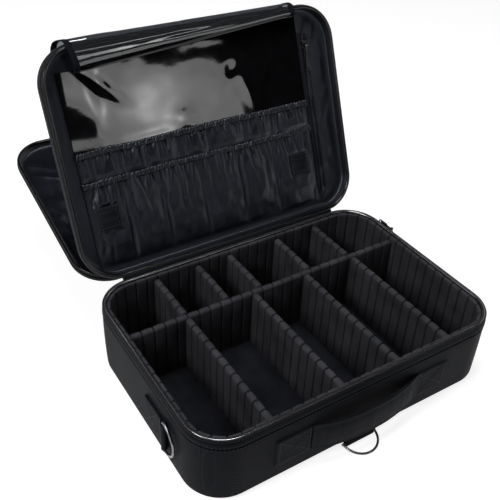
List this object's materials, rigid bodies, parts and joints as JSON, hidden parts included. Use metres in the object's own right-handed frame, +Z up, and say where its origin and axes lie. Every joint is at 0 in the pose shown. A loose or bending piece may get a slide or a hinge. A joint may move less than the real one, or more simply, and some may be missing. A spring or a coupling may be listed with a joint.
{
  "type": "makeup train case",
  "caption": "Soft-sided makeup train case with ribbed lift-out dividers, a hinged brush leaf with elastic pockets and a clear flap, and a zipped outer lid.",
  "frame": {"origin": "middle of the flat face that the case stands on", "axes": "+Z up, -Y to the front with the handle, +X to the right-hand side"},
  "size_m": [0.4152, 0.5966, 0.3494],
  "materials": {
    "case_fabric": "fine black ballistic-weave nylon",
    "webbing": "black woven webbing and tape",
    "ribbed_foam": "charcoal ribbed foam with a brushed face",
    "satin_lining": "dark satin lining",
    "gloss_vinyl": "glossy black vinyl piping and backing",
    "board": "stiff plastic board",
    "clear_vinyl": "smoke-tinted see-through vinyl sheet",
    "gunmetal": "gunmetal plating"
  },
  "bodies": {
    "body": {"body_shell": "case_fabric", "base_board": "board", "floor_pad": "satin_lining", "body_liner": "ribbed_foam", "body_piping": "gloss_vinyl", "body_zip_tape": "webbing", "body_hinge_tape": "webbing", "handle_end_left": "webbing", "handle_end_right": "webbing", "handle_run_left": "webbing", "handle_run_right": "webbing", "ring_tab_left": "webbing", "ring_tab_right": "webbing", "ring_tab_front": "webbing"},
    "handle": {"handle_grip": "webbing"},
    "ring_left": {"d_ring_left": "gunmetal"},
    "ring_right": {"d_ring_right": "gunmetal"},
    "ring_front": {"d_ring_front": "gunmetal"},
    "main_zip_slider": {"main_slider": "gunmetal"},
    "main_zip_pull": {"main_pull": "gunmetal"},
    "leaf": {"leaf_wall": "case_fabric", "leaf_board": "satin_lining", "leaf_front_piping": "gloss_vinyl", "leaf_rear_piping": "gloss_vinyl", "leaf_zip_tapes": "webbing", "leaf_hinge_tape": "webbing", "leaf_backing": "gloss_vinyl", "pocket_upper": "satin_lining", "pocket_lower": "satin_lining", "hook_patches": "webbing", "pocket_zip_tape": "webbing", "flap_welt": "gloss_vinyl"},
    "pocket_zip_slider": {"pocket_slider": "gunmetal"},
    "pocket_zip_pull": {"pocket_pull": "gunmetal"},
    "flap_near": {"flap_front": "clear_vinyl", "flap_binding_front": "gloss_vinyl"},
    "flap_over": {"flap_bridge": "clear_vinyl", "flap_binding_bridge": "gloss_vinyl"},
    "flap_hanging": {"flap_rear": "clear_vinyl", "flap_binding_rear": "gloss_vinyl", "flap_loop_patches": "webbing"},
    "lid_zip_slider": {"lid_slider": "gunmetal"},
    "lid_zip_pull": {"lid_pull": "gunmetal"},
    "lid": {"lid_shell": "case_fabric", "lid_lining": "satin_lining", "lid_piping": "gloss_vinyl", "lid_zip_tape": "webbing", "lid_hinge_tape": "webbing"},
    "lift_divider_long": {"divider_long": "ribbed_foam"},
    "lift_divider_rear_1": {"divider_rear_1": "ribbed_foam"},
    "lift_divider_rear_2": {"divider_rear_2": "ribbed_foam"},
    "lift_divider_rear_3": {"divider_rear_3": "ribbed_foam"},
    "lift_divider_rear_4": {"divider_rear_4": "ribbed_foam"},
    "lift_divider_rear_5": {"divider_rear_5": "ribbed_foam"},
    "lift_divider_front_1": {"divider_front_1": "ribbed_foam"},
    "lift_divider_front_2": {"divider_front_2": "ribbed_foam"},
    "lift_divider_front_3": {"divider_front_3": "ribbed_foam"},
    "lift_divider_front_4": {"divider_front_4": "ribbed_foam"}
  },
  "joints": [
    {"name": "leaf_hinge", "type": "hinge", "parent": "body", "child": "leaf", "pos_m": [0, 0.1382, 0.09165], "axis": [-1, 0, 0], "range_deg": [-112, 12]},
    {"name": "lid_hinge", "type": "hinge", "parent": "leaf", "child": "lid", "pos_m": [0, 0.15813, 0.0836], "axis": [-1, 0, 0], "range_deg": [-56, 14]},
    {"name": "flap_fold", "type": "hinge", "parent": "leaf", "child": "flap_near", "pos_m": [0, 0.24043, 0.31998], "axis": [-1, 0, 0], "range_deg": [-148.27, 0], "deforming": ["flap_front", "flap_binding_front", "flap_bridge", "flap_binding_bridge", "flap_rear", "flap_binding_rear", "flap_loop_patches"]},
    {"name": "flap_bend_front", "type": "hinge", "parent": "flap_near", "child": "flap_over", "pos_m": [0, 0.24013, 0.34922], "axis": [-1, 0, 0], "range_deg": [-122.23, 0]},
    {"name": "flap_bend_rear", "type": "hinge", "parent": "flap_over", "child": "flap_hanging", "pos_m": [0, 0.26204, 0.34037], "axis": [-1, 0, 0], "range_deg": [-90.5, 0]},
    {"name": "handle_swing", "type": "hinge", "parent": "body", "child": "handle", "pos_m": [0, -0.1393, 0.041], "axis": [-1, 0, 0], "range_deg": [-15, 15], "deforming": ["handle_run_left", "handle_run_right"]},
    {"name": "ring_left_swing", "type": "hinge", "parent": "body", "child": "ring_left", "pos_m": [-0.2038, -0.06, 0.04], "axis": [0, 0, -1], "range_deg": [0, 165]},
    {"name": "ring_right_swing", "type": "hinge", "parent": "body", "child": "ring_right", "pos_m": [0.2038, -0.06, 0.04], "axis": [0, 0, 1], "range_deg": [0, 165]},
    {"name": "ring_front_swing", "type": "hinge", "parent": "body", "child": "ring_front", "pos_m": [-0.006, -0.1413, 0.004], "axis": [-1, 0, 0], "range_deg": [0, 46]},
    {"name": "main_zip_slide", "type": "slide", "parent": "body", "child": "main_zip_slider", "axis": [0, -1, 0], "range_m": [0, 0.13]},
    {"name": "main_pull_swing", "type": "hinge", "parent": "main_zip_slider", "child": "main_zip_pull", "pos_m": [0.2057, 0.066, 0.0864], "axis": [0, 0, -1], "range_deg": [0, 150]},
    {"name": "pocket_zip_slide", "type": "slide", "parent": "leaf", "child": "pocket_zip_slider", "axis": [0, -0.3746, -0.9272], "range_m": [0, 0.18]},
    {"name": "pocket_pull_swing", "type": "hinge", "parent": "pocket_zip_slider", "child": "pocket_zip_pull", "pos_m": [0.157, 0.2294, 0.29855], "axis": [-1, 0, 0], "range_deg": [0, 150]},
    {"name": "lid_zip_slide", "type": "slide", "parent": "leaf", "child": "lid_zip_slider", "axis": [0, 0.3746, 0.9272], "range_m": [0, 0.14]},
    {"name": "lid_pull_swing", "type": "hinge", "parent": "lid_zip_slider", "child": "lid_zip_pull", "pos_m": [0.2027, 0.17799, 0.14676], "axis": [0, -0.9272, 0.3746], "range_deg": [0, 150]},
    {"name": "divider_long_lift", "type": "slide", "parent": "body", "child": "lift_divider_long", "axis": [0, 0, 1], "range_m": [0, 0.06]},
    {"name": "divider_rear_1_lift", "type": "slide", "parent": "body", "child": "lift_divider_rear_1", "axis": [0, 0, 1], "range_m": [0, 0.06]},
    {"name": "divider_rear_2_lift", "type": "slide", "parent": "body", "child": "lift_divider_rear_2", "axis": [0, 0, 1], "range_m": [0, 0.06]},
    {"name": "divider_rear_3_lift", "type": "slide", "parent": "body", "child": "lift_divider_rear_3", "axis": [0, 0, 1], "range_m": [0, 0.06]},
    {"name": "divider_rear_4_lift", "type": "slide", "parent": "body", "child": "lift_divider_rear_4", "axis": [0, 0, 1], "range_m": [0, 0.06]},
    {"name": "divider_rear_5_lift", "type": "slide", "parent": "body", "child": "lift_divider_rear_5", "axis": [0, 0, 1], "range_m": [0, 0.06]},
    {"name": "divider_front_1_lift", "type": "slide", "parent": "body", "child": "lift_divider_front_1", "axis": [0, 0, 1], "range_m": [0, 0.06]},
    {"name": "divider_front_2_lift", "type": "slide", "parent": "body", "child": "lift_divider_front_2", "axis": [0, 0, 1], "range_m": [0, 0.06]},
    {"name": "divider_front_3_lift", "type": "slide", "parent": "body", "child": "lift_divider_front_3", "axis": [0, 0, 1], "range_m": [0, 0.06]},
    {"name": "divider_front_4_lift", "type": "slide", "parent": "body", "child": "lift_divider_front_4", "axis": [0, 0, 1], "range_m": [0, 0.06]}
  ],
  "couplings": [
    {"joint": "flap_bend_front", "follows": "flap_fold", "ratio": 0.82104},
    {"joint": "flap_bend_rear", "follows": "flap_fold", "ratio": 0.60701}
  ]
}
